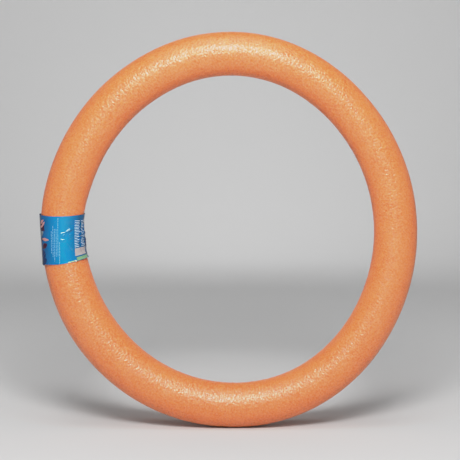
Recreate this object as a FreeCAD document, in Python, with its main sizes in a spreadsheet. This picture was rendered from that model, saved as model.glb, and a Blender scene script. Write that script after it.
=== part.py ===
"""Flying ring: a hollow foam tube bent round into an upright hoop.

The tube's two ends meet in a butt joint on the left. A foam plug bridges the joint inside the
core, glue holds the plug and the end faces, and a printed label is wrapped round the outside.

The row's frame: X to the right, Z up, Y along the hoop's axis, the front at -Y. The origin is on
the floor under the middle of the hoop. Every piece is modelled about the centre of the hoop's
left bend, with the joint on the -X axis, and one Placement takes them all to the row's frame.
"""
import FreeCAD, Part
import math
import os
import Sketcher
from FreeCAD import Placement, Rotation, Vector

DIMENSIONS = {
    "tube_diameter": 62.0,
    "core_diameter": 18.0,
    # The hoop's five bends, as radii of the tube's middle line.
    "left_bend": 251.0,
    "lower_left_bend": 234.0,
    "lower_right_bend": 213.0,
    "right_bend": 258.0,
    "top_bend": 209.0,
    # How far the first three bends turn, in degrees. The loop's closing sets the others.
    "below_joint_turn": 39.0,
    "lower_left_turn": 51.75,
    "lower_right_turn": 45.75,
    # The joint leans outwards, going up, by this many degrees.
    "joint_lean": 2.5,
    "end_glue": 0.4,
    "end_glue_margin": 4.5,
    "plug_length": 60.0,
    "plug_glue": 0.2,
    "label_width": 64.0,
    "label_thickness": 0.3,
    # The label's overlap is behind the tube: its length round the tube, the glue in it, and the
    # step where the outer layer climbs over the first edge.
    "lap_length": 14.0,
    "lap_glue": 0.15,
    "lap_step": 1.5,
}

# Sketches of the bends run anticlockwise from below the joint. Each bend has the dimension that
# gives its radius, the one that gives its turn (None where the closing sets it) and, in degrees,
# the turn that its arc is first drawn with.
BENDS = [
    ("left_bend", "below_joint_turn", 39.0),
    ("lower_left_bend", "lower_left_turn", 52.0),
    ("lower_right_bend", "lower_right_turn", 46.0),
    ("right_bend", None, 97.0),
    ("top_bend", None, 59.0),
    ("left_bend", None, 67.0),
]

# Sketch geometry is drawn at about its size, and its constraints then set it exactly. These are
# the names of an arc's points, the sheet's prefix in a formula, and the sketch's own origin.
START, END, CENTRE = 1, 2, 3
ORIGIN = (-1, START)
X_AXIS = -1
SHEET = "<<Dimensions>>."
UP = Vector(0, 0, 1)
JOINT = Vector(-DIMENSIONS["left_bend"], 0, 0)

doc = FreeCAD.newDocument("FlyingRing")


def make_sheet():
    """The spreadsheet of driving dimensions, one alias to each."""
    sheet = doc.addObject("Spreadsheet::Sheet", "Dimensions")
    for row, (name, value) in enumerate(DIMENSIONS.items(), start=1):
        sheet.set(f"A{row}", name)
        sheet.set(f"B{row}", str(value))
        sheet.setAlias(f"B{row}", name)
    doc.recompute()


def make_body(label):
    body = doc.addObject("PartDesign::Body", label)
    body.Label = label
    return body


def origin_part(body, role):
    """The body's own plane or axis that has this role, such as XZ_Plane."""
    return next(part for part in body.Origin.OriginFeatures if part.Role == role)


def make_sketch(body, name, plane):
    sketch = body.newObject("Sketcher::SketchObject", name)
    sketch.AttachmentSupport = [(origin_part(body, plane), "")]
    sketch.MapMode = "FlatFace"
    return sketch


def dimension(sketch, name, formula, *constraint):
    """Add a driving constraint and bind it to a formula of the sheet's cells."""
    sketch.addConstraint(Sketcher.Constraint(*constraint))
    sketch.renameConstraint(sketch.ConstraintCount - 1, name)
    sketch.setExpression(f"Constraints.{name}", formula)


def draw_middle_line(sketch):
    """The tube's middle line: tangent arcs from the joint's lower face round to its upper one."""
    centre = Vector(0, 0, 0)
    radius = DIMENSIONS["left_bend"]
    angle = math.pi
    for bend, turn_name, turn in BENDS:
        # Each arc's centre lies on the line from the last centre to the point they share.
        outward = Vector(math.cos(angle), math.sin(angle), 0)
        centre = centre + outward * (radius - DIMENSIONS[bend])
        radius = DIMENSIONS[bend]
        end = angle + math.radians(turn)
        sketch.addGeometry(Part.ArcOfCircle(Part.Circle(centre, UP, radius), angle, end), False)
        angle = end
    last = len(BENDS) - 1
    for arc in range(last):
        sketch.addConstraint(Sketcher.Constraint("Tangent", arc, END, arc + 1, START))
    for arc in (0, last):
        sketch.addConstraint(Sketcher.Constraint("Coincident", arc, CENTRE, *ORIGIN))
    for arc, (bend, turn_name, turn) in enumerate(BENDS):
        dimension(sketch, f"radius_{arc}", SHEET + bend, "Radius", arc, DIMENSIONS[bend])
        if turn_name:
            value = math.radians(DIMENSIONS[turn_name])
            dimension(sketch, turn_name, SHEET + turn_name, "Angle", arc, value)
    sketch.addConstraint(Sketcher.Constraint("PointOnObject", 0, START, X_AXIS))
    gap = ("DistanceY", *ORIGIN, last, END, DIMENSIONS["end_glue"])
    dimension(sketch, "end_gap", SHEET + "end_glue", *gap)


def centre_on_joint(sketch, curve):
    """Put a circle's or an arc's centre on the tube's middle line at the joint."""
    sketch.addConstraint(Sketcher.Constraint("PointOnObject", curve, CENTRE, X_AXIS))
    place = ("DistanceX", curve, CENTRE, *ORIGIN, DIMENSIONS["left_bend"])
    dimension(sketch, f"centre_{curve}", SHEET + "left_bend", *place)


def draw_rings(sketch, diameters):
    """Circles round the tube's middle line at the joint, one for each formula."""
    for ring, diameter in enumerate(diameters):
        radius = DIMENSIONS["tube_diameter"] / 2 - ring
        sketch.addGeometry(Part.Circle(JOINT, UP, radius), False)
        centre_on_joint(sketch, ring)
        dimension(sketch, f"diameter_{ring}", diameter, "Diameter", ring, 2 * radius)


def draw_sector(sketch, inner, outer, start, end):
    """A piece of a ring behind the tube, between two radii and two distances round the tube.

    The distances are measured along the tube's surface from its +Y side, towards the hoop's
    outside. All four are formulas of the sheet's cells."""
    near, far = DIMENSIONS["tube_diameter"] / 2, DIMENSIONS["tube_diameter"] / 2 + 1
    first, last = math.radians(90), math.radians(110)
    for radius in (near, far):
        circle = Part.Circle(JOINT, UP, radius)
        sketch.addGeometry(Part.ArcOfCircle(circle, first, last), False)
    for angle in (first, last):
        spoke = Vector(math.cos(angle), math.sin(angle), 0)
        sketch.addGeometry(Part.LineSegment(JOINT + spoke * near, JOINT + spoke * far), False)
    small, large, first_spoke, last_spoke = range(4)
    for spoke, point in ((first_spoke, START), (last_spoke, END)):
        sketch.addConstraint(Sketcher.Constraint("Coincident", small, point, spoke, START))
        sketch.addConstraint(Sketcher.Constraint("Coincident", large, point, spoke, END))
        sketch.addConstraint(Sketcher.Constraint("PointOnObject", small, CENTRE, spoke))
    sketch.addConstraint(Sketcher.Constraint("Coincident", small, CENTRE, large, CENTRE))
    centre_on_joint(sketch, small)
    dimension(sketch, "inner", inner, "Radius", small, near)
    dimension(sketch, "outer", outer, "Radius", large, far)
    turn = f" / ({SHEET}tube_diameter / 2) * 180 / pi"
    dimension(sketch, "start", f"90 + ({start}){turn}", "Angle", first_spoke, first)
    dimension(sketch, "end", f"90 + ({end}){turn}", "Angle", last_spoke, last)


def revolve(body, sketch, kind, length, both_ways=True):
    """Turn a sketch about the bend's axis so that it runs this far along the tube's middle line,
    half of it on each side of the joint or all of it upwards. The length is a formula of the
    sheet's cells."""
    feature = body.newObject(kind, sketch.Name + "Turned")
    feature.Profile = sketch
    feature.ReferenceAxis = (origin_part(body, "Y_Axis"), [""])
    feature.Midplane = both_ways
    feature.setExpression("Angle", f"({length}) / {SHEET}left_bend * 180 / pi")


def make_foam_tube():
    """The hollow tube, swept round its middle line from one face of the joint to the other."""
    body = make_body("foam_tube")
    path = make_sketch(body, "MiddleLine", "XZ_Plane")
    draw_middle_line(path)
    profile = make_sketch(body, "TubeSection", "XY_Plane")
    draw_rings(profile, (SHEET + "tube_diameter", SHEET + "core_diameter"))
    doc.recompute()
    pipe = body.newObject("PartDesign::AdditivePipe", "Tube")
    pipe.Profile = profile
    pipe.Spine = (path, [f"Edge{edge + 1}" for edge in range(len(BENDS))])
    return body


def make_bend_piece(label, diameters, length, both_ways=True):
    """A rod, or a sleeve where there are two diameters, that follows the bend at the joint."""
    body = make_body(label)
    section = make_sketch(body, label + "Section", "XY_Plane")
    draw_rings(section, diameters)
    revolve(body, section, "PartDesign::Revolution", length, both_ways)
    return body


def make_core_plug():
    """The foam plug inside the core, thinner than the core by the glue round it."""
    diameter = f"{SHEET}core_diameter - 2 * {SHEET}plug_glue"
    return make_bend_piece("core_plug", (diameter,), SHEET + "plug_length")


def make_plug_glue():
    """The sleeve of glue between the plug and the core."""
    inside = f"{SHEET}core_diameter - 2 * {SHEET}plug_glue"
    return make_bend_piece("plug_glue", (SHEET + "core_diameter", inside), SHEET + "plug_length")


def make_end_glue():
    """The film of glue between the tube's two end faces, on top of the lower one. It stops short
    of the tube's outside, so that none is squeezed out under the label."""
    outside = f"{SHEET}tube_diameter - 2 * {SHEET}end_glue_margin"
    diameters = (outside, SHEET + "core_diameter")
    return make_bend_piece("end_glue", diameters, SHEET + "end_glue", both_ways=False)


def make_label_band():
    """The wrapped label: one turn round the tube, then a lap over its own first edge."""
    skin = f"{SHEET}tube_diameter / 2 + {SHEET}label_thickness"
    glue = f"{skin} + {SHEET}lap_glue"
    flap = f"{glue} + {SHEET}label_thickness"
    diameters = (f"2 * ({skin})", SHEET + "tube_diameter")
    body = make_bend_piece("label_band", diameters, SHEET + "label_width")
    lap = make_sketch(body, "Lap", "XY_Plane")
    draw_sector(lap, skin, flap, "0", SHEET + "lap_length")
    revolve(body, lap, "PartDesign::Revolution", SHEET + "label_width")
    gap = make_sketch(body, "LapGap", "XY_Plane")
    draw_sector(gap, skin, glue, SHEET + "lap_step", SHEET + "lap_length")
    doc.recompute()
    before = body.Shape.Volume
    revolve(body, gap, "PartDesign::Groove", SHEET + "label_width")
    doc.recompute()
    if not body.Shape.Volume < before:
        raise RuntimeError("the gap for the lap's glue was not cut")
    return body


def make_label_glue():
    """The strip of glue that holds the label's lap down."""
    skin = f"{SHEET}tube_diameter / 2 + {SHEET}label_thickness"
    body = make_body("label_glue")
    strip = make_sketch(body, "GlueStrip", "XY_Plane")
    draw_sector(strip, skin, f"{skin} + {SHEET}lap_glue", SHEET + "lap_step", SHEET + "lap_length")
    revolve(body, strip, "PartDesign::Revolution", SHEET + "label_width")
    return body


def stand_on_floor(bodies, tube):
    """Lean every body by the joint's angle, then centre the tube on X and rest it on Z = 0."""
    lean = Rotation(Vector(0, 1, 0), -DIMENSIONS["joint_lean"])
    tube.Placement = Placement(Vector(0, 0, 0), lean)
    box = tube.Shape.optimalBoundingBox(False, False)
    place = Placement(Vector(-box.Center.x, 0, -box.ZMin), lean)
    for body in bodies:
        body.Placement = place


def check(bodies):
    """Stop if any object failed, or if a sub-part's shape is null or invalid."""
    for thing in doc.Objects:
        if "Invalid" in thing.State or "Error" in thing.State:
            raise RuntimeError(f"{thing.Name} failed: {thing.State}")
    for body in bodies:
        if body.Shape.isNull() or not body.Shape.isValid():
            raise RuntimeError(f"{body.Label} has no valid shape")


make_sheet()
foam_tube = make_foam_tube()
parts = [
    foam_tube,
    make_core_plug(),
    make_plug_glue(),
    make_end_glue(),
    make_label_band(),
    make_label_glue(),
]
doc.recompute()
stand_on_floor(parts, foam_tube)
doc.recompute()
check(parts)

os.makedirs("parts", exist_ok=True)
for part in parts:
    part.Shape.exportStep(f"parts/{part.Label}.step")
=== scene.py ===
"""Flying ring: a bent foam tube and its printed wrap label, on a pale floor in soft light.

The foam and the label are made in the tube's own terms. A place is how far it lies along the
tube's middle line, counted upwards from the joint, and its angle round the tube in degrees: 0
faces out of the hoop, 90 the front, 180 the hoop's middle and 270 the back.
"""
import math
import random

import bpy
import numpy as np
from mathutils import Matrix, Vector, noise
from mathutils.bvhtree import BVHTree


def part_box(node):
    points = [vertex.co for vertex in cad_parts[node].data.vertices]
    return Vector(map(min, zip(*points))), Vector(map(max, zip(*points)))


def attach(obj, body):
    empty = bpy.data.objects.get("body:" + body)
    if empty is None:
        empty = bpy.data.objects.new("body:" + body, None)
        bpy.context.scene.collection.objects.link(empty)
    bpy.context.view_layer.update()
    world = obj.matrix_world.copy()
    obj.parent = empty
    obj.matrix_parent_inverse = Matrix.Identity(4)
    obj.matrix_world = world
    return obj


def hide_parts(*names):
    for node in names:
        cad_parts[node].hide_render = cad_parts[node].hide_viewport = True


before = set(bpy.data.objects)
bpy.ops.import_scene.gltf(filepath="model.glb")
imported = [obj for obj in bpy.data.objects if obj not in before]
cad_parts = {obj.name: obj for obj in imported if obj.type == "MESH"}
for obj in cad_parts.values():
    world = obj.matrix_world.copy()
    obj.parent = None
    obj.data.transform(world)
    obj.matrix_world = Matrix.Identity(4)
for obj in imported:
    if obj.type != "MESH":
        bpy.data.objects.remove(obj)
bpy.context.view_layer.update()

MM = 0.001
FRONT = np.array([0.0, -1.0, 0.0])
BACKWARDS = np.array([0.0, 1.0, 0.0])


def middle(node):
    """The middle of a CAD node's box."""
    low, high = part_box(node)
    return (np.array(low) + np.array(high)) / 2


# The tube lies flat in XZ, so its box is as deep as the tube is thick.
TUBE_RADIUS = (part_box("foam_tube")[1][1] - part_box("foam_tube")[0][1]) / 2
HOOP_MIDDLE = middle("foam_tube")
JOINT = middle("end_glue")

# The foam: a little slimmer than its CAD solid, thickest below the joint, and drawn in under the
# label.
SLIMMER = 0.25 * MM
THICKER = 0.8 * MM
THICKEST_AT = -170 * MM
BULGE = 0.8 * MM
BULGE_MIDDLE = -150 * MM
BULGE_REACH = 90 * MM
WAIST = 2.05 * MM
WAIST_MIDDLE = 9 * MM
WAIST_REACH = 60 * MM

# The hoop swells outwards a little above the joint, as if the tube's ends there were stiffer.
SWELL = 2.3 * MM
SWELL_MIDDLE = 28 * MM
SWELL_REACH = 50 * MM

# Unevenness of the foam: its height, then for waves_at the size of its bumps along and round the
# tube and a number that picks the noise. Wrinkles are higher inside the bend than outside it.
SLOW_WAVES = (0.32 * MM, 80 * MM, 40 * MM, 3.0)
QUICK_WAVES = (0.05 * MM, 24 * MM, 26 * MM, 11.0)
WRINKLES = (6 * MM, 30 * MM, 23.0)
WRINKLE_OUTSIDE = 0.01 * MM
WRINKLE_INSIDE = 0.20 * MM

# Dents: the deepest, put at a faint mark in the photo, as its place along and round the tube, width
# and depth, then how many others there are and how wide and deep they may be, in millimetres.
MAIN_DENT = (670 * MM, 92.0, 4 * MM, 0.7 * MM)
OTHER_DENTS = 26
DENT_WIDTHS = (2.5, 6.0)
DENT_DEPTHS = (0.15, 0.4)

# The foam is flat where it would dip under this height.
FLOOR_GAP = 0.05 * MM

# The label: half its length along the tube's middle line at the front, and what that loses on
# the hoop's outside and gains on its inside, where the same film covers more of the bend. Its
# middle is above the joint, and further above it outside and inside than at the front.
LABEL_HALF = 33.0 * MM
LABEL_GAIN = 2.65 * MM
LABEL_RISE = 1.6 * MM
LABEL_SKEW = 1.25 * MM
LABEL_CURVE = 1.85 * MM
FILM = 0.3 * MM
CLEAR_OF_FOAM = 0.22 * MM
LAP_GLUE = 0.15 * MM
LAP_START = 270.0
LAP_TURN = 26.0

# The film climbs on to its own first edge over this turn, in degrees from that edge. Its adhesive
# starts a little past the edge and ends in a bead a little past the last one.
CLIMB_START = 356.5
CLIMB_TURN = 4.0
ADHESIVE_START = 1.5
ADHESIVE_BEAD = 0.6
ADHESIVE_GAP = 0.01 * MM
ADHESIVE_REACH = 0.99

# The label's own shape: how far its ends stand off outside the bend, its folds inside it, its soft
# unevenness, and how its edges lift and flare over the last part of its reach.
STAND_OFF = 1.9 * MM
INSIDE_FROM = 0.25
FOLD_HEIGHT = 1.0 * MM
FOLDS = (5.5 * MM, 16 * MM, 41.0)
SOFT_HEIGHT = 0.3 * MM
SOFT_BUMPS = (14 * MM, 18 * MM, 57.0)
EDGE_FROM = 0.86
EDGE_SHARE = 0.14
EDGE_BUMPS = (10 * MM, 12 * MM, 71.0)
EDGE_LIFT_MM = 0.45
EDGE_FLARE_MM = 1.1

# Faces that meet more steeply than this are shown with an edge: the rims of the film and the ink.
EDGE_ANGLE = math.radians(60)


# ------------------------------------------------------------------ the tube's middle line


def middle_line_terms(rays=72, terms=9):
    """Fourier terms of the middle line's distance from the hoop's middle, from the CAD tube.
    Each ray finds the tube's inner side from the middle, and its outer side from a metre away."""
    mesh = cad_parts["foam_tube"].data
    faces = [polygon.vertices for polygon in mesh.polygons]
    tree = BVHTree.FromPolygons([vertex.co for vertex in mesh.vertices], faces)
    start = Vector(HOOP_MIDDLE)
    distances = []
    for ray in range(rays):
        angle = 2 * math.pi * ray / rays
        way = Vector((math.cos(angle), 0, math.sin(angle)))
        inside = tree.ray_cast(start, way)[3]
        outside = 1 - tree.ray_cast(start + way, -way)[3]
        distances.append((inside + outside) / 2)
    return np.fft.rfft(distances)[:terms] / rays


def trace_middle_line(steps=3600):
    """Points of the middle line from the joint upwards and round, and how far along each is."""
    terms = middle_line_terms()
    joint = math.atan2(JOINT[2] - HOOP_MIDDLE[2], JOINT[0] - HOOP_MIDDLE[0])
    angle = joint - np.linspace(0, 2 * math.pi, steps + 1)
    waves = np.exp(1j * np.outer(angle, np.arange(1, len(terms))))
    distance = terms[0].real + 2 * (waves @ terms[1:]).real
    half_round = math.pi * distance[0]
    above = np.mod((joint - angle) * distance[0] + half_round, 2 * half_round) - half_round
    distance = distance + SWELL * np.exp(-((above - SWELL_MIDDLE) / SWELL_REACH) ** 2)
    way = np.stack([np.cos(angle), 0 * angle, np.sin(angle)], axis=1)
    points = HOOP_MIDDLE + distance[:, None] * way
    lengths = np.linalg.norm(np.diff(points, axis=0), axis=1)
    return points, np.concatenate([[0], np.cumsum(lengths)])


LINE, ALONG = trace_middle_line()
LINE_LENGTH = ALONG[-1]
HOOP_RADIUS = LINE_LENGTH / (2 * math.pi)
LINE_WAY = np.gradient(LINE, axis=0)
LINE_WAY /= np.linalg.norm(LINE_WAY, axis=1)[:, None]


def from_joint(along):
    """How far a place is above (+) or below (-) the joint, the short way round."""
    return np.mod(along + LINE_LENGTH / 2, LINE_LENGTH) - LINE_LENGTH / 2


def tube_points(along, around, radius):
    """Points at these places and distances from the middle line. All three are equal arrays."""
    along = np.mod(along, LINE_LENGTH)
    point = np.stack([np.interp(along, ALONG, LINE[:, axis]) for axis in range(3)], axis=-1)
    way = np.stack([np.interp(along, ALONG, LINE_WAY[:, axis]) for axis in range(3)], axis=-1)
    outwards = np.cross(way, BACKWARDS)
    angle = np.radians(around)[..., None]
    return point + radius[..., None] * (np.cos(angle) * outwards + np.sin(angle) * FRONT)


def straight_place(along, around):
    """The same places on a straight tube, in metres, for noise that has to close round it. Along
    the tube the noise doesn't close: it has a seam at the joint, which the label hides."""
    angle = np.radians(around)
    across = TUBE_RADIUS * np.cos(angle)
    return np.stack([along, across, TUBE_RADIUS * np.sin(angle)], axis=-1)


def waves_at(along, around, long_size, round_size, seed):
    """Smooth noise from about -1 to 1, with bumps of these sizes along and round the tube."""
    places = straight_place(along, around) / (long_size, round_size, round_size)
    flat = places.reshape(-1, 3) + seed
    values = [noise.noise(Vector(place)) for place in flat]
    return np.array(values).reshape(along.shape)


# ------------------------------------------------------------------ shapes


def dents():
    """Small dents in the foam, clear of the label: places along and round, widths and depths."""
    chance = random.Random(5)
    found = [MAIN_DENT]
    for _ in range(OTHER_DENTS):
        along = chance.uniform(0.06, 0.94) * LINE_LENGTH
        size = chance.uniform(*DENT_WIDTHS) * MM
        found.append((along, chance.uniform(0, 360), size, chance.uniform(*DENT_DEPTHS) * MM))
    return found


def foam_radius(along, around):
    """The foam's radius: its slow changes of thickness, its waist under the label, soft
    unevenness, and wrinkles across the tube that are deepest inside the bend."""
    near = from_joint(along)
    inside = np.clip(-np.cos(np.radians(around)), 0, 1)
    squeezed = np.exp(-((near - WAIST_MIDDLE) / WAIST_REACH) ** 2)
    radius = TUBE_RADIUS - SLIMMER
    radius = radius + THICKER * np.cos(2 * math.pi * (near - THICKEST_AT) / LINE_LENGTH)
    radius = radius + BULGE * np.exp(-((near - BULGE_MIDDLE) / BULGE_REACH) ** 2)
    radius = radius - WAIST * squeezed
    for height, *bumps in (SLOW_WAVES, QUICK_WAVES):
        radius = radius + height * waves_at(along, around, *bumps)
    wrinkle = WRINKLE_OUTSIDE + WRINKLE_INSIDE * inside
    radius = radius + wrinkle * waves_at(along, around, *WRINKLES)
    for dent_along, dent_around, size, depth in dents():
        off_along = from_joint(along - dent_along)
        off_around = (np.mod(around - dent_around + 180, 360) - 180) * math.pi / 180 * TUBE_RADIUS
        radius = radius - depth * np.exp(-(off_along ** 2 + off_around ** 2) / size ** 2)
    return radius


def add_mesh(name, points, faces, along, around):
    """A smooth mesh on the hoop. The straight tube's coordinates go with it for its material."""
    mesh = bpy.data.meshes.new(name)
    mesh.from_pydata(points.reshape(-1, 3).tolist(), [], faces)
    mesh.polygons.foreach_set("use_smooth", [True] * len(mesh.polygons))
    mesh.set_sharp_from_angle(angle=EDGE_ANGLE)
    place = mesh.attributes.new("tube_place", "FLOAT_VECTOR", "POINT")
    place.data.foreach_set("vector", straight_place(along, around).ravel())
    mesh.update()
    piece = bpy.data.objects.new(name, mesh)
    bpy.context.scene.collection.objects.link(piece)
    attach(piece, "root")
    return piece


def grid_faces(rows, columns, close_rows=False, close_columns=False, first=0):
    """Quads between the points of a grid, which may close on itself either way."""
    faces = []
    for row in range(rows if close_rows else rows - 1):
        after = (row + 1) % rows
        for column in range(columns if close_columns else columns - 1):
            beside = (column + 1) % columns
            corners = ((row, column), (row, beside), (after, beside), (after, column))
            faces.append([first + r * columns + c for r, c in corners])
    return faces


def make_foam(long_steps=880, round_steps=120):
    """The foam tube's skin, closed round the hoop, and flat where it stands on the floor."""
    along = np.linspace(0, LINE_LENGTH, long_steps, endpoint=False)
    around = np.linspace(0, 360, round_steps, endpoint=False)
    along, around = np.meshgrid(along, around, indexing="ij")
    points = tube_points(along, around, foam_radius(along, around))
    points[..., 2] = np.maximum(points[..., 2], FLOOR_GAP)
    faces = grid_faces(long_steps, round_steps, close_rows=True, close_columns=True)
    foam = add_mesh("foam_hoop", points, faces, along, around)
    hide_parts("foam_tube")
    return foam


# Creases in the label, each a fold with two flat faces: places in millimetres along and degrees
# round, from its small end to its large one, then its height and each face's width in millimetres.
CREASES = [
    ((11.8, 103), (16.4, 118), 1.5, 2.9),
    ((11.6, 102), (10.2, 91), 1.1, 2.2),
    ((7, 92), (8.2, 99), 1.1, 2.0),
    ((14, 122), (4, 100), -2.0, 2.4),
    ((2.4, 88), (0.6, 98), 1.0, 2.1),
    ((-3, 107), (-15, 122), 0.9, 2.2),
    ((-15, 122), (-34, 124), 0.9, 2.4),
    ((27, 128), (12, 146), 1.0, 2.6),
    ((-4, 138), (-26, 156), -0.9, 2.8),
    ((25, 70), (33, 84), 0.35, 2.6),
    ((-20, 84), (-33, 78), 0.35, 2.8),
    ((10, 178), (-14, 186), 1.2, 3.0),
    ((20, 200), (-4, 214), 1.0, 2.6),
    ((-12, 205), (-30, 226), -0.8, 2.8),
    ((12, 236), (26, 258), 0.7, 2.6),
    ((-6, 300), (-24, 318), 0.4, 2.6),
]


def crease_height(along, around, start, end, height, width):
    """A fold, or a valley if height is below 0, along a line on the unrolled label. It doubles in
    height and width from the line's start to its end."""
    place = np.stack([along, np.radians(around) * TUBE_RADIUS], axis=-1) / MM
    first, last = [np.array([a, math.radians(r) * TUBE_RADIUS / MM]) for a, r in (start, end)]
    run = last - first
    share = np.clip(((place - first) @ run) / (run @ run), 0, 1)
    away = np.linalg.norm(place - first - share[..., None] * run, axis=-1)
    grown = 0.5 + 0.5 * share
    return height * MM * grown * np.clip(1 - away / (width * grown), 0, 1)


# Where the film is bunched up: its middle along and round the tube, and how far it spreads. Its
# folds are long one way and short the other, and lean by these slopes.
CRUMPLE_ALONG = 6 * MM
CRUMPLE_AROUND = 158
CRUMPLE_SPREAD_ALONG = 19 * MM
CRUMPLE_SPREAD_ROUND = 17 * MM
CRUMPLE_LONG = 12 * MM
CRUMPLE_SHORT = 4.4 * MM
CRUMPLE_SLOPES = (0.9, 0.7)
CRUMPLE_SHARPNESS = 2.2


def crumples(along, around, height=1.8 * MM, seed=7.0):
    """Fine slanting folds where the film is bunched up, beside the middle of the hoop."""
    beside = np.radians(np.mod(around, 360) - CRUMPLE_AROUND) * TUBE_RADIUS
    off = np.abs(along - CRUMPLE_ALONG)
    gathered = np.exp(-(beside / CRUMPLE_SPREAD_ROUND) ** 2 - (off / CRUMPLE_SPREAD_ALONG) ** 2)
    first_slope, second_slope = CRUMPLE_SLOPES
    long_way = (along + first_slope * beside) / CRUMPLE_LONG
    short_way = (along - second_slope * beside) / CRUMPLE_SHORT
    places = np.stack([long_way, short_way, 0 * along + seed], axis=-1).reshape(-1, 3)
    values = [1 - CRUMPLE_SHARPNESS * abs(noise.noise(Vector(place))) for place in places]
    return height * gathered * np.array(values).reshape(along.shape)


def label_along(reach, around):
    """How far along the tube a place on the label is: reach goes from -1 to 1, edge to edge."""
    outwards = np.cos(np.radians(around))
    middle_of_label = LABEL_RISE - LABEL_SKEW * outwards + LABEL_CURVE * outwards ** 2
    return middle_of_label + reach * (LABEL_HALF - LABEL_GAIN * outwards)


def label_reach(along, around):
    """The reach of a place on the label: the other way round."""
    low, high = label_along(-1, around), label_along(1, around)
    return 2 * (along - low) / (high - low) - 1


def label_radius(along, turn):
    """The radius of the label's inner face. turn is in degrees from the film's first edge."""
    around = np.mod(LAP_START + turn, 360)
    angle = np.radians(around)
    reach = label_reach(along, around)
    outside = np.clip(np.cos(angle), 0, 1)
    inside = np.clip(INSIDE_FROM - np.cos(angle), 0, 1 + INSIDE_FROM) / (1 + INSIDE_FROM)
    # Places below the joint are under 0 here, where the noise isn't quite that of the built foam.
    radius = foam_radius(along, around) + CLEAR_OF_FOAM
    # The film is straight outside the bend, where its ends stand off, and crumpled inside it.
    radius = radius + STAND_OFF * outside ** 1.5 * reach ** 2
    folds = 0.5 + 0.5 * waves_at(along, around, *FOLDS)
    radius = radius + FOLD_HEIGHT * inside ** 1.5 * folds
    radius = radius + crumples(along, around)
    soft = 0.5 + 0.5 * waves_at(along, around, *SOFT_BUMPS)
    radius = radius + SOFT_HEIGHT * soft
    edge = np.clip((np.abs(reach) - EDGE_FROM) / EDGE_SHARE, 0, 1)
    lift = 0.5 + 0.5 * waves_at(0 * along, around, *EDGE_BUMPS)
    lower = np.clip(-reach, 0, 1)
    radius = radius + (EDGE_LIFT_MM * lift + EDGE_FLARE_MM * inside * lower) * MM * edge ** 2
    for start, end, height, width in CREASES:
        radius = radius + crease_height(along, around, start, end, height, width)
    radius = np.maximum(radius, foam_radius(along, around) + CLEAR_OF_FOAM)
    lapped = np.clip((turn - CLIMB_START) / CLIMB_TURN, 0, 1)
    return radius + (FILM + LAP_GLUE) * lapped ** 2 * (3 - 2 * lapped)


def film_grid(low_reach, high_reach, low_turn, high_turn, step=0.75 * MM):
    """A grid of places on the label: reach is -1 at its lower edge and 1 at its upper one."""
    rows = max(2, round(abs(high_reach - low_reach) * LABEL_HALF / step) + 1)
    columns = max(2, round(math.radians(high_turn - low_turn) * TUBE_RADIUS / step) + 1)
    reach = np.linspace(low_reach, high_reach, rows)
    turn = np.linspace(low_turn, high_turn, columns)
    reach, turn = np.meshgrid(reach, turn, indexing="ij")
    return label_along(reach, LAP_START + turn), turn


def layer_mesh(along, turn, inner, outer, first=0):
    """Points and faces of a closed layer between two heights above the label's inner face."""
    radius = label_radius(along, turn)
    layers = [tube_points(along, LAP_START + turn, radius + height) for height in (inner, outer)]
    rows, columns = along.shape
    count = rows * columns
    # The under side is split along the same diagonals, so that the two never cross at a fold.
    under = [[a, d, c, b] for a, b, c, d in grid_faces(rows, columns, first=first)]
    over = grid_faces(rows, columns, first=first + count)
    rim = [(0, column) for column in range(columns)]
    rim += [(row, columns - 1) for row in range(1, rows)]
    rim += [(rows - 1, column) for column in range(columns - 2, -1, -1)]
    rim += [(row, 0) for row in range(rows - 2, 0, -1)]
    places = [first + row * columns + column for row, column in rim]
    walls = [[b + count, a + count, a, b] for a, b in zip(places, places[1:] + places[:1])]
    return np.concatenate([layer.reshape(-1, 3) for layer in layers]), under + over + walls


def film_piece(name, reaches, turns, inner, outer):
    """A closed layer of the label, over these reaches and turns."""
    along, turn = film_grid(*reaches, *turns)
    points, faces = layer_mesh(along, turn, inner, outer)
    both_along, both_turn = np.tile(along.ravel(), 2), np.tile(turn.ravel(), 2)
    return add_mesh(name, points, faces, both_along, LAP_START + both_turn)


def make_label():
    """The printed film: once round the tube and a lap. Its flat width allows for its folds."""
    label = film_piece("wrap_label", (-1, 1), (0, 360 + LAP_TURN), 0, FILM)
    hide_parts("label_band")
    return label


def make_lap_adhesive():
    """The strip of adhesive in the lap, with a thin bead of it at the film's last edge."""
    reaches = (-ADHESIVE_REACH, ADHESIVE_REACH)
    turns = (360 + ADHESIVE_START, 360 + ADHESIVE_BEAD + LAP_TURN)
    low, high = -LAP_GLUE + ADHESIVE_GAP, -ADHESIVE_GAP
    strip = film_piece("lap_adhesive", reaches, turns, low, high)
    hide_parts("label_glue")
    return strip


# ------------------------------------------------------------------ print


# Each layer of ink starts one step above the last, and is half as thick again, so that it sinks
# into what is under it. The print is wrapped askew by this slope.
INK = 0.04 * MM
INK_THICKNESS = 1.5 * INK
PRINT_TWIST = 0.08

# How far apart the points of a piece of print are, in millimetres, and in degrees in edge strips.
PRINT_STEP = 0.8
STRIP_STEP = 1.4
STRIP_MARGIN = 0.4 * MM


def straightened(along, turn):
    """Where a line printed along the film lies: the film is straighter than the bend, so its
    ends turn to the hoop's outside, and it is wrapped a little askew."""
    offset = along ** 2 / (2 * HOOP_RADIUS * TUBE_RADIUS)
    bent = np.degrees(offset) * np.sin(np.radians(LAP_START + turn))
    return turn - bent + np.degrees(PRINT_TWIST * along / TUBE_RADIUS)


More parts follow.
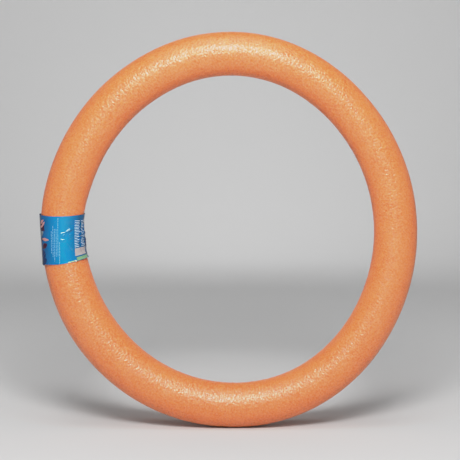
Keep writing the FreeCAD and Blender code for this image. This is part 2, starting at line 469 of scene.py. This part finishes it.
def print_shapes(name, grids, material, layer=1):
    """One piece of print made of many small grids of places in one ink, in this layer of ink."""
    low = FILM + (layer - 1.5) * INK
    points, faces, alongs, turns, first = [], [], [], [], 0
    for along, turn in grids:
        turn = straightened(along, turn)
        grid_points, grid_layer = layer_mesh(along, turn, low, low + INK_THICKNESS, first)
        points.append(grid_points)
        faces += grid_layer
        alongs.append(np.tile(along.ravel(), 2))
        turns.append(np.tile(turn.ravel(), 2))
        first += len(grid_points)
    piece = add_mesh(name, np.concatenate(points), faces, np.concatenate(alongs),
                     LAP_START + np.concatenate(turns))
    piece.data.materials.append(material)


def turn_of(around):
    """Degrees from the film's first edge, for an angle round the tube."""
    return (around - LAP_START) % 360


def bar(low, high, start, end):
    """A rectangle of print: millimetres along the tube and degrees round it."""
    rows = max(2, round((high - low) / PRINT_STEP) + 1)
    first, last = turn_of(start), turn_of(start) + end - start
    columns = max(2, round(math.radians(end - start) * TUBE_RADIUS / (PRINT_STEP * MM)) + 1)
    along = np.linspace(low, high, rows) * MM
    return np.meshgrid(along, np.linspace(first, last, columns), indexing="ij")


def edge_strip(wide, start, end):
    """A strip of print along the label's lower edge, this many millimetres wide."""
    first, last = turn_of(start), turn_of(start) + end - start
    turn = np.linspace(first, last, round((end - start) / STRIP_STEP) + 2)
    low = label_along(-1, LAP_START + turn) + STRIP_MARGIN
    shares = np.linspace(0, 1, round(wide / PRINT_STEP) + 2)
    rows = [low + share * wide * MM for share in shares]
    return np.array(rows), np.tile(turn, (len(rows), 1))


def oval(centre, half_long, half_round, lean=0.0, power=2.0, rows=9, columns=17, blunt=0.98):
    """A rounded shape of print, pointed where power is under 2. Sizes are in millimetres. Its ends
    are cut off at the share blunt of its length, so that no face there shrinks to nothing."""
    share, beside = np.linspace(-1, 1, rows), np.linspace(-blunt, blunt, columns)
    share, beside = np.meshgrid(share, beside, indexing="ij")
    across = share * half_long * (1 - np.abs(beside) ** power) ** (1 / power)
    beside = beside * half_round
    tilt = math.radians(lean)
    along = centre[0] + across * math.cos(tilt) - beside * math.sin(tilt)
    round_mm = across * math.sin(tilt) + beside * math.cos(tilt)
    return along * MM, turn_of(centre[1]) + np.degrees(round_mm * MM / TUBE_RADIUS)


def ruled_lines(start, pitch, ends, width, seed, words=(1.6, 4.6), gap=0.8):
    """Fine print as broken lines along the tube, one for each pair of ends, without letters."""
    chance = random.Random(seed)
    grids = []
    for number, (low, high) in enumerate(ends):
        angle = start + number * pitch
        at = high
        while at > low:
            word = min(chance.uniform(*words), at - low)
            grids.append(bar(at - word, at, angle, angle + width))
            at -= word + gap
    return grids


def print_front(ink):
    """Generic print where the photo has text: broken lines, rows of bars, a panel and strips."""
    text_ends = [(-16, 14), (-20, 21), (-26, 17), (-20, 17), (-20, 32), (-31, -1)]
    text = ruled_lines(63.5, 4.6, text_ends, 1.2, 8)
    print_shapes("print_fine_lines", text, ink["sky"])

    chance = random.Random(7)
    pitch, height = 2.5, 0.7
    rows = []
    for at in np.arange(-11, 31, pitch):
        rows.append(bar(at, at + height, 128, 140 + chance.uniform(0, 6)))
        rows.append(bar(at, at + height, 149 + chance.uniform(0, 3), 160 + chance.uniform(0, 12)))
    print_shapes("print_table_rows", rows, ink["white"])
    print_shapes("print_panel", [bar(-24.0, -13, 128, 168)], ink["cream"])
    print_shapes("print_strip", [edge_strip(5.0, 132, 174)], ink["green"])
    print_shapes("print_edge_line", [edge_strip(1.1, 109, 131.5)], ink["lime"])
    print_shapes("print_side_strip", [bar(-26, 8, 175, 186)], ink["navy"])


def print_petals(ink):
    """Plain rounded shapes where the photo has a picture, towards the outside of the hoop."""
    dark = [oval((19.0, 24), 6.0, 8.0, 10), oval((-5.2, 38), 3.6, 6.5, -20, 1.6)]
    dark += [oval((15.5, 35), 1.6, 3.6, 30, 1.6)]
    print_shapes("print_dark_petals", dark, ink["maroon"], layer=2)
    petals = [oval((24.5, 27), 2.0, 6.0, -28, 1.4), oval((21.3, 33), 1.7, 6.0, -40, 1.4),
              oval((18.5, 23), 1.4, 4.0, -15, 1.4), oval((3.0, 41), 2.0, 8.2, 4, 1.3)]
    print_shapes("print_pale_petals", petals, ink["petal"], layer=3)
    shades = [oval((12.5, 24), 2.6, 5.6, 10), oval((8.5, 21), 2.2, 4.4, -14, 1.6)]
    print_shapes("print_grey_petals", shades, ink["grey"])
    deep = [oval((-16, 30), 5.5, 7, 12, 1.7), oval((-25, 32), 5.0, 8, -16, 1.7)]
    deep += [oval((2.8, 22), 3.0, 5.0, 0, 1.7)]
    print_shapes("print_deep_patches", deep, ink["navy"])


def print_back(ink):
    """The back, which the photo doesn't show: a block of random bars and some fine lines."""
    print_shapes("print_back_panel", [bar(-20, 14, 206, 242)], ink["white"])
    chance = random.Random(12)
    first, last = 208.0, 239
    bars, at = [], first
    while at < last:
        width = chance.choice((0.8, 1.3, 2.0))
        bars.append(bar(-16, 10, at, at + width))
        at += width + chance.choice((0.8, 1.2))
    print_shapes("print_back_bars", bars, ink["ink"], layer=2)
    back_ends = [(-24, 22), (-28, 25), (-26, 20), (-30, 24)]
    print_shapes("print_back_lines", ruled_lines(302, 5, back_ends, 2.0, 21), ink["sky"])


# ------------------------------------------------------------------ materials


def new_material(name):
    """A new material, its nodes and links, and its shader."""
    material = bpy.data.materials.new(name)
    material.use_nodes = True
    nodes = material.node_tree.nodes
    return material, nodes, material.node_tree.links, nodes["Principled BSDF"]


def tube_coordinates(nodes, links, sizes):
    """The straight tube's coordinates, divided by sizes in millimetres along and round it."""
    place = nodes.new("ShaderNodeAttribute")
    place.attribute_name = "tube_place"
    scale = nodes.new("ShaderNodeVectorMath")
    scale.operation = "MULTIPLY"
    scale.inputs[1].default_value = [1 / (size * MM) for size in sizes]
    links.new(place.outputs["Vector"], scale.inputs[0])
    return scale.outputs[0]


def noise_at(nodes, links, place, detail, rough):
    """Noise from 0 to 1 at a place that is already scaled."""
    texture = nodes.new("ShaderNodeTexNoise")
    texture.inputs["Scale"].default_value = 1.0
    texture.inputs["Detail"].default_value = detail
    texture.inputs["Roughness"].default_value = rough
    links.new(place, texture.inputs["Vector"])
    return texture.outputs["Fac"]


def noise_on(nodes, links, sizes, detail=2.0, rough=0.5):
    """Noise on the foam or the label, with bumps of these sizes along and round the tube."""
    return noise_at(nodes, links, tube_coordinates(nodes, links, sizes), detail, rough)


def spread(nodes, links, value, low, high, to_low=0.0, to_high=1.0):
    """A value spread from the range low to high over another range, and held at its ends."""
    scaled = nodes.new("ShaderNodeMapRange")
    scaled.inputs["From Min"].default_value = low
    scaled.inputs["From Max"].default_value = high
    scaled.inputs["To Min"].default_value = to_low
    scaled.inputs["To Max"].default_value = to_high
    links.new(value, scaled.inputs["Value"])
    return scaled.outputs["Result"]


def colours_on(nodes, links, value, stops):
    """A colour for a value from 0 to 1, from stops of a position and a colour."""
    ramp = nodes.new("ShaderNodeValToRGB")
    while len(ramp.color_ramp.elements) < len(stops):
        ramp.color_ramp.elements.new(0.5)
    for element, (position, colour) in zip(ramp.color_ramp.elements, stops):
        element.position = position
        element.color = (*colour, 1)
    links.new(value, ramp.inputs["Fac"])
    return ramp.outputs["Color"]


def mix_colours(nodes, links, share, first, second):
    """The first colour with a share of the second. Each may be a constant or another node's."""
    mix = nodes.new("ShaderNodeMix")
    mix.data_type = "RGBA"
    for socket, value in (("Factor", share), ("A", first), ("B", second)):
        target = [i for i in mix.inputs if i.name == socket and i.enabled][0]
        if isinstance(value, bpy.types.NodeSocket):
            links.new(value, target)
        else:
            target.default_value = value
    return [o for o in mix.outputs if o.enabled][0]


def bump_on(nodes, links, height, distance, strength, below=None):
    """Fine relief from a height, over any relief that is given below it."""
    bump = nodes.new("ShaderNodeBump")
    bump.inputs["Distance"].default_value = distance
    bump.inputs["Strength"].default_value = strength
    links.new(height, bump.inputs["Height"])
    if below is not None:
        links.new(below, bump.inputs["Normal"])
    return bump.outputs["Normal"]


def foam_material(name, light, deep):
    """Closed-cell foam: a skin of fine cells, faint streaks across the tube, and dark dots of
    painted shade where the skin has small pits.
    """
    material, nodes, links, shader = new_material(name)
    streaks = noise_on(nodes, links, (2.4, 4, 4), 2.0, 0.5)
    grain = noise_on(nodes, links, (2.5, 3.0, 3.0), 2.0, 0.6)
    patches = noise_on(nodes, links, (38, 26, 26), 2.0, 0.5)
    cells = nodes.new("ShaderNodeTexVoronoi")
    cells.feature = "SMOOTH_F1"
    cells.inputs["Scale"].default_value = 1.0
    links.new(tube_coordinates(nodes, links, (3.0, 3.4, 3.4)), cells.inputs["Vector"])
    body = colours_on(nodes, links, patches, [(0.3, deep), (0.7, light)])
    paler = [min(0.9, part * 1.28 + 0.03) for part in light]
    speckled = spread(nodes, links, grain, 0.35, 0.65, 0.0, 0.8)
    body = mix_colours(nodes, links, speckled, body, (*paler, 1))
    streaky = spread(nodes, links, streaks, 0.4, 0.75, 0.0, 0.25)
    body = mix_colours(nodes, links, streaky, body, (*paler, 1))
    # Painted shade: dark dots for the shade in small pits of the skin, which the relief doesn't
    # have.
    pits = noise_on(nodes, links, (1.9, 2.4, 2.4), 1.0, 0.4)
    painted_pit_shade = spread(nodes, links, pits, 0.68, 0.76, 0.0, 0.5)
    dark = [part * 0.5 for part in deep]
    body = mix_colours(nodes, links, painted_pit_shade, body, (*dark, 1))
    links.new(body, shader.inputs["Base Color"])
    links.new(spread(nodes, links, grain, 0.3, 0.7, 0.31, 0.43), shader.inputs["Roughness"])
    shader.inputs["Subsurface Weight"].default_value = 0.3
    shader.inputs["Subsurface Radius"].default_value = (1.0, 0.3, 0.15)
    shader.inputs["Subsurface Scale"].default_value = 5 * MM
    gloss = noise_on(nodes, links, (2.0, 2.4, 2.4), 1.0, 0.5)
    links.new(spread(nodes, links, gloss, 0.36, 0.62, 0.3, 1.0), shader.inputs["Specular IOR Level"])
    normal = bump_on(nodes, links, cells.outputs["Distance"], 0.5 * MM, 1.0)
    normal = bump_on(nodes, links, streaks, 0.15 * MM, 1.0, normal)
    normal = bump_on(nodes, links, grain, 0.72 * MM, 1.0, normal)
    links.new(normal, shader.inputs["Normal"])
    return material


def film_material():
    """The label's printed blue film: a watery print and fine creases. Its blue is darker towards the
    hoop's outside and middle than at the front and back.
    """
    material, nodes, links, shader = new_material("printed_film")
    place = nodes.new("ShaderNodeAttribute")
    place.attribute_name = "tube_place"
    split = nodes.new("ShaderNodeSeparateXYZ")
    links.new(place.outputs["Vector"], split.inputs[0])
    # The blue is darker towards the hoop's outside and middle than at the front and back.
    side = spread(nodes, links, split.outputs["Y"], -TUBE_RADIUS, TUBE_RADIUS)
    stops = [(0.0, (0.004, 0.05, 0.14)), (0.2, (0.003, 0.13, 0.28)), (0.45, (0.002, 0.25, 0.44)),
             (0.7, (0.001, 0.16, 0.36)), (0.9, (0.002, 0.085, 0.23)), (1.0, (0.01, 0.03, 0.09))]
    body = colours_on(nodes, links, side, stops)
    water = noise_on(nodes, links, (16, 11, 11), 3.0, 0.55)
    rippled = spread(nodes, links, water, 0.35, 0.7, 0.0, 0.45)
    body = mix_colours(nodes, links, rippled, body, (0.002, 0.15, 0.42, 1))
    foam = noise_on(nodes, links, (5, 7, 7), 4.0, 0.6)
    flecks = spread(nodes, links, foam, 0.6, 0.8, 0.0, 0.3)
    body = mix_colours(nodes, links, flecks, body, (0.01, 0.30, 0.48, 1))
    links.new(body, shader.inputs["Base Color"])
    shader.inputs["Specular IOR Level"].default_value = 0.4
    links.new(spread(nodes, links, water, 0.3, 0.7, 0.1, 0.16), shader.inputs["Roughness"])
    crinkle = noise_on(nodes, links, (3.2, 4.0, 4.0), 4.0, 0.55)
    links.new(bump_on(nodes, links, crinkle, 0.2 * MM, 0.5), shader.inputs["Normal"])
    return material


def ink_material(name, colour):
    """A printed colour, with the film's fine crinkles in its sheen."""
    material, nodes, links, shader = new_material(name)
    shader.inputs["Base Color"].default_value = (*colour, 1)
    shader.inputs["Specular IOR Level"].default_value = 0.2
    crinkle = noise_on(nodes, links, (3.2, 4.0, 4.0), 4.0, 0.55)
    links.new(spread(nodes, links, crinkle, 0.3, 0.7, 0.2, 0.3), shader.inputs["Roughness"])
    links.new(bump_on(nodes, links, crinkle, 0.2 * MM, 0.5), shader.inputs["Normal"])
    return material


def glue_material(name, colour, lump=4 * MM):
    """Dried adhesive, glossy and a little uneven."""
    material, nodes, links, shader = new_material(name)
    place = nodes.new("ShaderNodeTexCoord")
    scale = nodes.new("ShaderNodeVectorMath")
    scale.operation = "SCALE"
    scale.inputs["Scale"].default_value = 1 / lump
    links.new(place.outputs["Object"], scale.inputs[0])
    lumps = noise_at(nodes, links, scale.outputs[0], 3.0, 0.5)
    pale = [min(1.0, part * 1.2) for part in colour]
    body = colours_on(nodes, links, lumps, [(0.3, colour), (0.7, pale)])
    links.new(body, shader.inputs["Base Color"])
    links.new(spread(nodes, links, lumps, 0.3, 0.7, 0.12, 0.3), shader.inputs["Roughness"])
    links.new(bump_on(nodes, links, lumps, 0.2 * MM, 0.5), shader.inputs["Normal"])
    return material


def plug_material(cell=1.5 * MM):
    """The plug's white foam: matt, with small cells."""
    material, nodes, links, shader = new_material("plug_foam")
    place = nodes.new("ShaderNodeTexCoord")
    cells = nodes.new("ShaderNodeTexVoronoi")
    cells.inputs["Scale"].default_value = 1 / cell
    links.new(place.outputs["Object"], cells.inputs["Vector"])
    stops = [(0.0, (0.80, 0.80, 0.77)), (0.8, (0.58, 0.58, 0.55))]
    body = colours_on(nodes, links, cells.outputs["Distance"], stops)
    links.new(body, shader.inputs["Base Color"])
    shader.inputs["Roughness"].default_value = 0.8
    normal = bump_on(nodes, links, cells.outputs["Distance"], 0.3 * MM, 0.7)
    links.new(normal, shader.inputs["Normal"])
    return material


def dress_node(node, material):
    """Give a CAD node that stays its material."""
    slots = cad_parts[node].material_slots
    for slot in slots:
        slot.link = "OBJECT"
        slot.material = material
    if not slots:
        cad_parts[node].data.materials.append(material)


# ------------------------------------------------------------------ studio


# The camera's view is this wide at the hoop. It looks a little beside and above its middle.
VIEW_WIDTH = 641.792 * MM
VIEW_ASIDE = 0.6 * MM
VIEW_ABOVE = 1.2 * MM
SENSOR = 36

# The radius of the floor's flat part. The paper's glow grows outwards over it.
STUDIO_RADIUS = 2.3


def make_camera(elevation=5.5, distance=2.6):
    """A long lens in front of the hoop, looking slightly down at its middle."""
    data = bpy.data.cameras.new("camera")
    data.sensor_width = SENSOR
    data.lens = SENSOR * distance / VIEW_WIDTH
    data.clip_end = 100
    camera = bpy.data.objects.new("camera", data)
    bpy.context.scene.collection.objects.link(camera)
    aim = Vector((VIEW_ASIDE, 0, HOOP_MIDDLE[2] + VIEW_ABOVE))
    tilt = math.radians(elevation)
    camera.location = aim + distance * Vector((0, -math.cos(tilt), math.sin(tilt)))
    camera.rotation_euler = (math.radians(90 - elevation), 0, 0)
    bpy.context.scene.camera = camera


def paper_material():
    """Pale paper that glows a little away from the hoop, as if it were lit from outside."""
    material, nodes, links, shader = new_material("studio_paper")
    shader.inputs["Base Color"].default_value = (0.6, 0.6, 0.6, 1)
    shader.inputs["Roughness"].default_value = 0.85
    shader.inputs["Specular IOR Level"].default_value = 0.2
    place = nodes.new("ShaderNodeTexCoord")
    level = nodes.new("ShaderNodeVectorMath")
    level.operation = "MULTIPLY"
    level.inputs[1].default_value = (1, 1, 0)
    links.new(place.outputs["Object"], level.inputs[0])
    away = nodes.new("ShaderNodeVectorMath")
    away.operation = "LENGTH"
    links.new(level.outputs["Vector"], away.inputs[0])
    share = spread(nodes, links, away.outputs["Value"], 0.0, STUDIO_RADIUS)
    stops = [(0.05, [0.0] * 3), (0.2, [0.06] * 3), (0.4, [0.08] * 3), (0.8, [0.10] * 3)]
    links.new(colours_on(nodes, links, share, stops), shader.inputs["Emission Color"])
    shader.inputs["Emission Strength"].default_value = 1.0
    return material


def make_studio_floor(flat=STUDIO_RADIUS, sweep=1.3, height=3.2, steps=96, sweep_steps=12):
    """A pale round floor that curves up into a wall all the way round."""
    outline = [(0.5 * flat, 0.0), (flat, 0.0)]
    for number in range(1, sweep_steps + 1):
        angle = math.radians(90 * number / sweep_steps)
        outline.append((flat + sweep * math.sin(angle), sweep * (1 - math.cos(angle))))
    outline.append((flat + sweep, height))
    points = []
    for radius, rise in outline:
        for step in range(steps):
            angle = 2 * math.pi * step / steps
            points.append((radius * math.cos(angle), radius * math.sin(angle), rise))
    rings = len(outline)
    faces = [face[::-1] for face in grid_faces(rings, steps, close_columns=True)]
    middle_point = len(points)
    points.append((0, 0, 0))
    faces += [[middle_point, step, (step + 1) % steps] for step in range(steps)]
    mesh = bpy.data.meshes.new("studio_floor")
    mesh.from_pydata(points, [], faces)
    mesh.polygons.foreach_set("use_smooth", [True] * len(mesh.polygons))
    floor = bpy.data.objects.new("studio_floor", mesh)
    bpy.context.scene.collection.objects.link(floor)
    mesh.materials.append(paper_material())


def make_light(name, place, aim, size, power):
    """A softbox that the camera doesn't see."""
    data = bpy.data.lights.new(name, "AREA")
    data.shape = "RECTANGLE"
    data.size, data.size_y = size
    data.energy = power
    light = bpy.data.objects.new(name, data)
    light.location = place
    light.rotation_euler = (Vector(aim) - Vector(place)).to_track_quat("-Z", "Y").to_euler()
    light.visible_camera = False
    bpy.context.scene.collection.objects.link(light)


def make_lights():
    """A softbox in front and above, two broad ones higher up, one on the backdrop, a dim room."""
    aim = (0, 0, HOOP_MIDDLE[2])
    make_light("key", (0, -1.45, 1.34), aim, (0.65, 0.45), 29)
    make_light("fill", (0, -2.45, 2.0), (0, 0, 0), (1.0, 1.5), 29)
    make_light("overhead", (0, -0.5, 2.3), (0, 0, 0), (1.2, 1.2), 13)
    make_light("backdrop", (0, 2.0, 1.0), (0, 3.3, 0.35), (0.5, 0.5), 6.5)
    world = bpy.data.worlds.new("room")
    world.use_nodes = True
    background = world.node_tree.nodes["Background"]
    background.inputs["Color"].default_value = (1.0, 1.0, 1.0, 1)
    background.inputs["Strength"].default_value = 0.04
    bpy.context.scene.world = world


# How bright parts are shown, from the scene's brightness to the picture's: a camera's soft
# shoulder, which keeps the brightest orange from clipping.
BRIGHTEST = 2.2
SHOULDER = [(0.0, 0.0), (0.3, 0.3), (0.6, 0.6), (0.8, 0.7), (1.1, 0.76), (1.5, 0.82), (2.2, 0.92)]


def set_exposure():
    """Show the scene's brightness by the curve above, which is the same for each colour."""
    settings = bpy.context.scene.view_settings
    settings.view_transform = "Standard"
    settings.use_curve_mapping = True
    mapping = settings.curve_mapping
    mapping.white_level = [BRIGHTEST] * 3
    points = mapping.curves[3].points
    while len(points) < len(SHOULDER):
        points.new(0.5, 0.5)
    for point, (bright, shown) in zip(points, SHOULDER):
        point.location = (bright / BRIGHTEST, shown)
        point.handle_type = "VECTOR"
    mapping.update()


# ------------------------------------------------------------------ the scene


make_camera()
make_studio_floor()
make_lights()
set_exposure()

foam_hoop = make_foam()
foam_hoop.data.materials.append(
    foam_material("orange_foam", (0.71, 0.18, 0.045), (0.67, 0.148, 0.035)))
make_label().data.materials.append(film_material())
clear_glue = glue_material("clear_adhesive", (0.62, 0.60, 0.52))
make_lap_adhesive().data.materials.append(clear_glue)
INKS = {
    "sky": (0.20, 0.43, 0.60),
    "white": (0.60, 0.72, 0.80),
    "cream": (0.37, 0.335, 0.33),
    "green": (0.17, 0.32, 0.18),
    "lime": (0.36, 0.48, 0.16),
    "petal": (0.50, 0.25, 0.24),
    "grey": (0.16, 0.20, 0.22),
    "maroon": (0.045, 0.01, 0.03),
    "navy": (0.006, 0.03, 0.11),
    "ink": (0.01, 0.015, 0.03),
}
inks = {name: ink_material("ink_" + name, colour) for name, colour in INKS.items()}
print_front(inks)
print_petals(inks)
print_back(inks)
dress_node("core_plug", plug_material())
amber_glue = glue_material("amber_adhesive", (0.55, 0.40, 0.18))
dress_node("plug_glue", amber_glue)
dress_node("end_glue", amber_glue)
